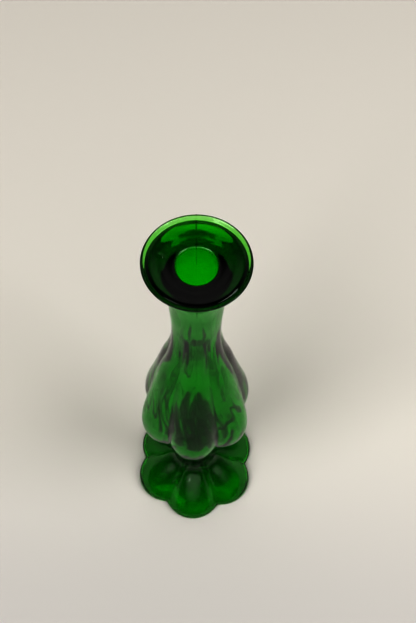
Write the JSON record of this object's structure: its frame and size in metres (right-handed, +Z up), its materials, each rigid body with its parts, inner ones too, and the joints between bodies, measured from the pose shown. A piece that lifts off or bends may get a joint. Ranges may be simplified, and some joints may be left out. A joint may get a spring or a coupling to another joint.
{
  "type": "glass bud vase",
  "caption": "Tall, narrow green glass vase for a single stem, with a round flared mouth, a lobed body and a petal-shaped foot.",
  "frame": {"origin": "centre of the ring that the foot rests on, in its plane", "axes": "+Z up along the vase's axis from the foot to the rim; -Y points through the middle of one petal and of the lobe above it"},
  "size_m": [0.064, 0.069, 0.228],
  "materials": {
    "green_glass": "clear gloss, coloured through"
  },
  "bodies": {
    "root": {"lip": "green_glass", "mouth_flare": "green_glass", "neck": "green_glass", "shoulder": "green_glass", "belly": "green_glass", "lower_body": "green_glass", "stem": "green_glass", "foot": "green_glass"}
  },
  "joints": []
}
